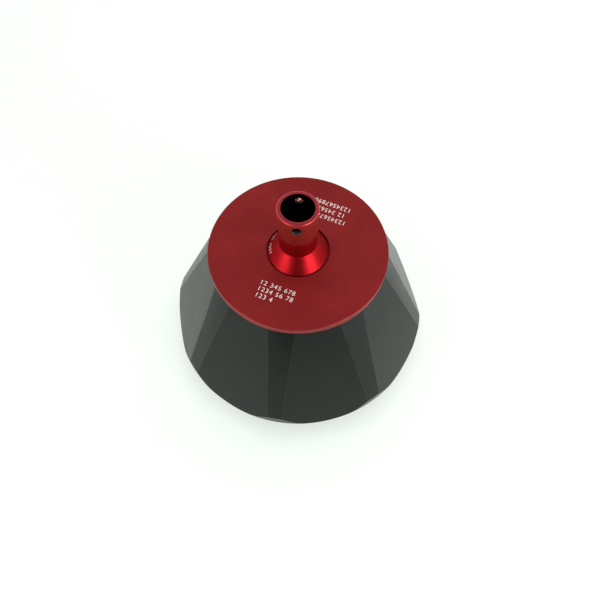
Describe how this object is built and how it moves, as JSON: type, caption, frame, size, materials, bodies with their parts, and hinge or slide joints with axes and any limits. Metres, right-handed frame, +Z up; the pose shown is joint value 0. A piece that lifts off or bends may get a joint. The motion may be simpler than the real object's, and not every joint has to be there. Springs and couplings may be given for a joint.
{
  "type": "fixed angle rotor",
  "caption": "Conical centrifuge rotor with angled round-bottomed tube cavities, milled flats round its body, and a red anodised lid held down by a hollow screw knob.",
  "frame": {"origin": "centre of the base, on the surface that the rotor stands on", "axes": "+Z up along the spin axis; +X through the first tube cavity"},
  "size_m": [0.21, 0.21, 0.1682],
  "materials": {
    "body": "satin black finish on titanium",
    "lid": "matte red anodising",
    "knob": "bright red anodising",
    "steel": "turned steel",
    "rubber": "matte",
    "washer": "plain",
    "disk": "film with bright and dark sectors"
  },
  "bodies": {
    "rotor": {"rotor_body": "body", "drive_pin_1": "steel", "drive_pin_2": "steel", "overspeed_disk": "disk"},
    "cover": {"lid": "lid", "lid_o_ring": "rubber"},
    "washer": {"thrust_washer": "washer"},
    "handle": {"knob": "knob", "stud": "steel", "retaining_ring": "steel", "knob_o_ring": "rubber"}
  },
  "joints": [
    {"name": "lid_lift", "type": "slide", "parent": "rotor", "child": "cover", "axis": [0, 0, 1], "range_m": [0, 0.16]},
    {"name": "knob_rise", "type": "slide", "parent": "cover", "child": "washer", "axis": [0, 0, 1], "range_m": [0, 0.0085]},
    {"name": "knob_turn", "type": "hinge", "parent": "washer", "child": "handle", "pos_m": [0, 0, 0.12], "axis": [0, 0, 1], "range_deg": [0, 1530]}
  ],
  "couplings": [
    {"joint": "knob_rise", "follows": "knob_turn", "m_per_rad": 0.00031831}
  ]
}
